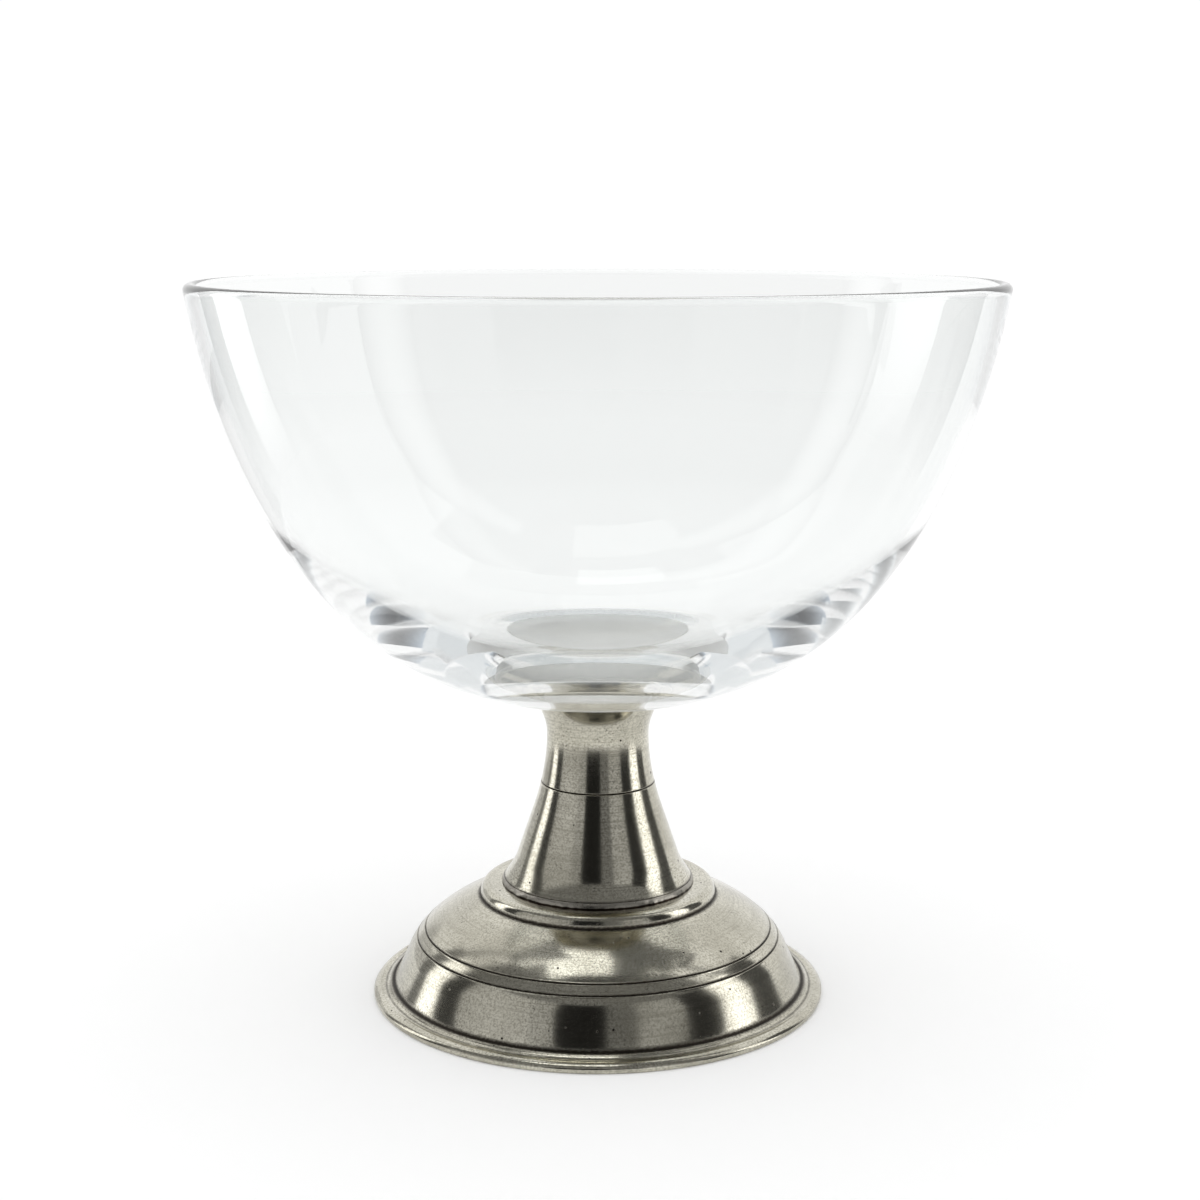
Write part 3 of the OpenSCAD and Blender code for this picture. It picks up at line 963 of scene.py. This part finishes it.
# %% [markdown]
# The floor is plain white, and so is the world, at a strength of about one: a white surface
# in it renders as white, and a colour as it is written. The foot keeps some of the room's
# light from the floor round it. There the floor is given painted light: it glows a little,
# but only for the camera, the metal and the glass that look at it, so it lights nothing. This
# painted light whitens the shade round the foot. The shadow under the brim stays. Light is
# mirrored many times inside thick glass before it leaves, so its path may be long.

# %% The floor and the world
FLOOR_SIZE = 6.0
FLOOR_WHITE, FLOOR_ROUGHNESS = (0.99, 0.99, 0.99, 1), 0.9
# painted light on the floor: its glow near the object, and the distances over which it fades out
FLOOR_PAINTED_LIGHT, PAINTED_LIGHT_NEAR, PAINTED_LIGHT_FAR = 0.08, 0.3, 1.2
ROOM_WHITE, ROOM_LIGHT = (1, 1, 1, 1), 1.03
LIGHT_PATH = 32


def floor_material():
    """Plain white board, with painted light near the object for rays that look at it."""
    made, tree, shader, where = new_material("white floor with painted light")
    away = put(tree, "ShaderNodeVectorMath", {0: where}, operation="LENGTH").outputs["Value"]
    path = put(tree, "ShaderNodeLightPath").outputs
    looks = calc(tree, "MAXIMUM", path["Is Camera Ray"], path["Is Glossy Ray"])
    looks = calc(tree, "MAXIMUM", looks, path["Is Transmission Ray"])
    # painted light: a glow round the object that whitens the floor's shade, for the rays above only
    painted_light = span(tree, away, PAINTED_LIGHT_NEAR, PAINTED_LIGHT_FAR, FLOOR_PAINTED_LIGHT, 0.0)
    dress(tree, shader, {"Base Color": FLOOR_WHITE, "Roughness": FLOOR_ROUGHNESS,
                         "Specular IOR Level": 0.0, "Emission Color": ROOM_WHITE,
                         "Emission Strength": calc(tree, "MULTIPLY", looks, painted_light)})
    return made


def staged(name, corners, faces, material):
    """A flat of the studio, which isn't part of the object."""
    mesh = bpy.data.meshes.new(name)
    mesh.from_pydata(corners, [], faces)
    mesh.materials.append(material)
    made = bpy.data.objects.new(name, mesh)
    bpy.context.scene.collection.objects.link(made)
    return made


half = FLOOR_SIZE / 2
staged("floor", [(-half, -half, 0), (half, -half, 0), (half, half, 0), (-half, half, 0)],
       [(0, 1, 2, 3)], floor_material())

for limit in ("max_bounces", "glossy_bounces", "transmission_bounces"):
    setattr(bpy.context.scene.cycles, limit, LIGHT_PATH)

world = bpy.data.worlds.new("white studio")
bpy.context.scene.world = world
world.use_nodes = True
background = world.node_tree.nodes["Background"]
background.inputs["Color"].default_value = ROOM_WHITE
background.inputs["Strength"].default_value = ROOM_LIGHT
print("floor:", FLOOR_SIZE, "across, room light:", ROOM_LIGHT)

# %% [markdown]
# Polished metal and glass show the room more than themselves. A product photographer
# therefore stands boards round the object: dark ones where an edge needs a line, bright ones
# for a highlight. A board here shows only to a ray that has met a mirror, or a given number
# of them, so that it is never seen straight through the glass, and it casts no light or
# shade. Each point of a board carries its glow. It also carries how pale it is to the clear
# glass, whose rays stay sharp: there the boards fade into the white floor, and their lower
# edges draw no line in the bowl.

# %% One board
PLAIN = (1, 1, 1)


def board_material(name, tone, mirrors):
    """A colour times the glow of the mesh, for rays that met at least so many mirrors."""
    made = bpy.data.materials.new(name)
    made.use_nodes = True
    tree = made.node_tree
    tree.nodes.clear()
    path = put(tree, "ShaderNodeLightPath").outputs
    glow = attribute(tree, "glow")
    pale = calc(tree, "MULTIPLY", path["Is Singular Ray"], attribute(tree, "pale"))
    seen = calc(tree, "MULTIPLY_ADD", pale, calc(tree, "SUBTRACT", 1.0, glow), glow)
    shine = put(tree, "ShaderNodeEmission", {"Color": (*tone, 1), "Strength": seen})
    mirrored = calc(tree, "GREATER_THAN", path["Glossy Depth"], mirrors - HALF)
    clear = put(tree, "ShaderNodeBsdfTransparent")
    shown = put(tree, "ShaderNodeMixShader",
                {0: mirrored, 1: clear.outputs[0], 2: shine.outputs[0]})
    put(tree, "ShaderNodeOutputMaterial", {"Surface": shown.outputs[0]})
    return made


def board(name, corners, faces, glow, pale, unseen_by=(), tone=PLAIN, mirrors=1):
    """A board that shows in the metal and the glass only."""
    made = staged(name, corners, faces, board_material(name, tone, mirrors))
    for label, values in (("glow", glow), ("pale", pale)):
        made.data.attributes.new(label, "FLOAT", "POINT").data.foreach_set("value", values)
    for ray in ("camera", "diffuse", "shadow", *unseen_by):
        setattr(made, "visible_" + ray, False)
    return made


# %% [markdown]
# Most boards are bent round the object. Such a strip runs from one bearing to another, in
# degrees right of the camera, and each of its long edges has a distance from the axis and a
# level. Its two ends can lose a share of its glow, which makes a bright streak soft. With a
# share below nothing the ends are pale and the middle is dark. Boards overhead are flat.

# %% Bent boards and boards overhead
DEGREES_A_STEP = 2
CEILING = 1.4


def bent(name, first, last, low, high, glow, ends=0.0, low_pale=0.0, **looks):
    """A strip round the object, paler at its low edge where that is asked for."""
    steps = round(abs(last - first) / DEGREES_A_STEP)
    corners, glows, pales = [], [], []
    for i in range(steps + 1):
        turn = math.radians(first + (last - first) * i / steps)
        for (r, z), pale in ((low, low_pale), (high, 0.0)):
            corners.append((r * math.sin(turn), -r * math.cos(turn), z))
            glows.append(glow * (1 - ends * (2 * i / steps - 1) ** 2))
            pales.append(pale)
    faces = [(2 * i, 2 * i + 2, 2 * i + 3, 2 * i + 1) for i in range(steps)]
    return board(name, corners, faces, glows, pales, **looks)


def overhead(name, x0, x1, y0, y1, glow, **looks):
    """A flat board over the object."""
    corners = [(x, y, CEILING) for x, y in ((x0, y0), (x1, y0), (x1, y1), (x0, y1))]
    return board(name, corners, [(0, 1, 2, 3)], [glow] * 4, [0.0] * 4, **looks)


# %% [markdown]
# The bright boards are the two tall windows whose soft streaks run down the glass, and whose
# sharp lines run down the stem. The dark ones beside them make these lines sharp. A row is a
# board's bearings, its glow, what its ends lose, and the rays that don't see it: what is
# unseen through the glass would otherwise darken the thick heel too much.

# %% The drum of boards
DRUM_R, FADE_TOP, WALL_TOP = 0.42, 0.13, 0.33
THROUGH_GLASS, IN_A_MIRROR = ("transmission",), ("glossy",)
DRUM = [
    ("left_end", -122, -112, 0.22, 0.0, THROUGH_GLASS),
    ("left_light", -112, -97, 2.3, 0.3, THROUGH_GLASS),
    ("left_flag", -97, -81, 0.07, 0.0, THROUGH_GLASS),
    ("left_wall", -81, -38, 0.63, 0.1, ()),
    ("left_inner", -38, -24, 0.46, 0.0, ()),
    ("camera_gap", -24, 5, 0.02, 0.0, ()),
    ("right_inner", 5, 22, 0.21, 0.0, ()),
    ("right_wall", 22, 49, 0.50, 0.1, ()),
    ("right_flag", 49, 71, 0.04, 0.0, THROUGH_GLASS),
    ("right_light", 72, 93, 2.3, 0.3, THROUGH_GLASS),
    ("right_end", 93, 114, 0.10, 0.2, THROUGH_GLASS)]
boards = []
for label, first, last, glow, ends, unseen_by in DRUM:
    boards += [
        bent(label + "_foot", first, last, (DRUM_R, 0.0), (DRUM_R, FADE_TOP), glow, ends,
             low_pale=1.0, unseen_by=unseen_by),
        bent(label, first, last, (DRUM_R, FADE_TOP), (DRUM_R, WALL_TOP), glow, ends,
             unseen_by=unseen_by)]
print("drum:", len(boards), "boards")

# %% [markdown]
# The skirt and the dome lean back, so they mirror what is higher up and overhead. A dim wall
# above the drum and dim boards over the object darken them. One bright board overhead shows
# in the dome only through the bowl, and draws the broken patch of light under the collar. A
# last board lies on the floor beyond the drum.

# %% The boards above and on the floor
UPPER_GLOW, WINDOW_GLOW, EDGE_GLOW, FLOOR_GLOW = 0.24, 1.1, 0.7, 0.32
EDGE_TOP, FLOOR_FAR, JUST_OVER = 0.14, 2.5, 0.0005
wall_top, upper_top = (DRUM_R, WALL_TOP), (DRUM_R, CEILING)
boards += [
    bent("upper_wall", -95, 72, wall_top, upper_top, UPPER_GLOW),
    bent("left_window", -118, -95, wall_top, upper_top, WINDOW_GLOW, ends=1.0),
    bent("right_window", 72, 95, wall_top, upper_top, WINDOW_GLOW, ends=1.0),
    overhead("over_front", -0.42, 0.42, -0.42, -0.19, 0.08),
    overhead("over_right", 0.12, 0.90, -0.19, 0.47, 0.15),
    overhead("over_back", -0.60, 0.12, 0.14, 0.47, 0.35),
    overhead("over_light", -0.60, 0.12, -0.19, 0.14, 2.0, unseen_by=IN_A_MIRROR),
    bent("left_edge", -145, -122, (DRUM_R, 0.0), (DRUM_R, EDGE_TOP), EDGE_GLOW,
         unseen_by=THROUGH_GLASS),
    bent("front_floor", -106, 93, (DRUM_R, JUST_OVER), (FLOOR_FAR, JUST_OVER), FLOOR_GLOW,
         unseen_by=THROUGH_GLASS)]
print("so far:", len(boards), "boards")

# %% [markdown]
# Six more boards show only through the glass, to rays that were mirrored at least twice
# inside it. The thick heel bends the view so far sideways that it shows what stands beside
# and behind the bowl: the dark blue-grey wedges low on both sides of it are two dark
# boards, seen that way, and its grey edges are the grey ones. A row is a board's bearings,
# its distance, its two levels, its glow, what its ends lose, and its colour.

# %% The boards seen in the heel
BLUE_GREY, COOL_GREY = (0.78, 0.89, 1.0), (0.94, 0.98, 1.0)
HEEL_MIRRORS = 2
HEEL_BOARDS = [
    ("left_dark", -146, -124, 0.40, 0.16, 0.31, 0.05, -12.0, BLUE_GREY),
    ("right_dark", 124, 146, 0.40, 0.16, 0.31, 0.05, -12.0, BLUE_GREY),
    ("left_behind", -126, -106, 0.40, 0.0, 0.20, 0.40, -1.4, COOL_GREY),
    ("left_grey", -100, -80, 0.40, 0.0, 0.33, 0.25, -3.0, COOL_GREY),
    ("right_grey", 74, 92, 0.40, 0.0, 0.33, 0.30, -2.3, COOL_GREY),
    ("far_wall", 140, 220, 1.50, 0.20, 0.75, 0.80, 0.0, COOL_GREY)]
boards += [
    bent(label, first, last, (r, low), (r, high), glow, ends, unseen_by=IN_A_MIRROR,
         tone=tone, mirrors=HEEL_MIRRORS)
    for label, first, last, r, low, high, glow, ends, tone in HEEL_BOARDS]
print("in all:", len(boards), "boards")

# %% [markdown]
# The camera stands where the photographer's stood. Its distance, height and tilt were worked
# out from the ellipses of the rim and the foot in the picture, and its lens from the size of
# the object there.

# %% The camera
CAMERA_DISTANCE, CAMERA_HEIGHT, CAMERA_SIDE = 0.6512, 0.2497, 0.0007
CAMERA_TILT, LENS_MM, SENSOR_MM, NEAREST_SEEN = 10.60, 63.0, 36.0, 0.01

lens = bpy.data.cameras.new("camera")
lens.lens = LENS_MM
lens.sensor_width = SENSOR_MM
lens.sensor_height = SENSOR_MM
lens.clip_start = NEAREST_SEEN
camera = bpy.data.objects.new("camera", lens)
camera.location = (CAMERA_SIDE, -CAMERA_DISTANCE, CAMERA_HEIGHT)
camera.rotation_euler = (math.radians(90 - CAMERA_TILT), 0, 0)
bpy.context.scene.collection.objects.link(camera)
bpy.context.scene.camera = camera
bpy.context.scene.view_settings.view_transform = "Standard"
print("camera:", tuple(round(part, 4) for part in camera.location))
